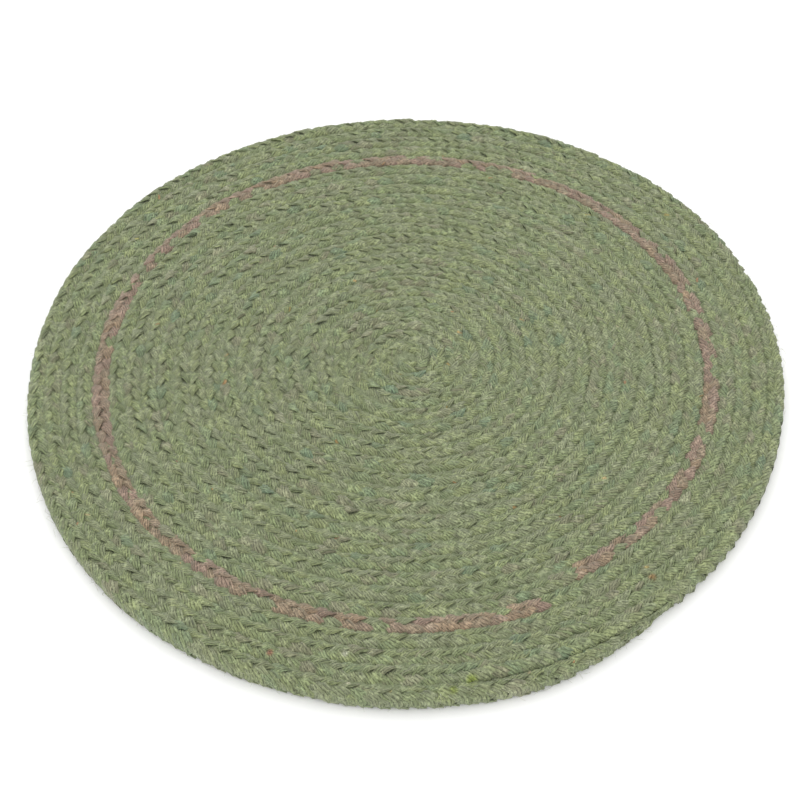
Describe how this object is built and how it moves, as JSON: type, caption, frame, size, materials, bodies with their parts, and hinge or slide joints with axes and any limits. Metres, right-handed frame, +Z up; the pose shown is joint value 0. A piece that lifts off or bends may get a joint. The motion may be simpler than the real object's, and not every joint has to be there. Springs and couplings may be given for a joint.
{
  "type": "round braided placemat",
  "caption": "Round flat placemat of one plaited fabric cord wound in a spiral and sewn edge to edge, ridged on top, flat underneath.",
  "frame": {"origin": "middle of the mat's underside, on the table", "axes": "+Z up through the mat's thickness, -Y towards the diner"},
  "size_m": [0.2995, 0.3057, 0.0077],
  "materials": {
    "green_braid": "matt cotton yarn, plaited"
  },
  "bodies": {
    "root": {"braided_mat": "green_braid"}
  },
  "joints": []
}
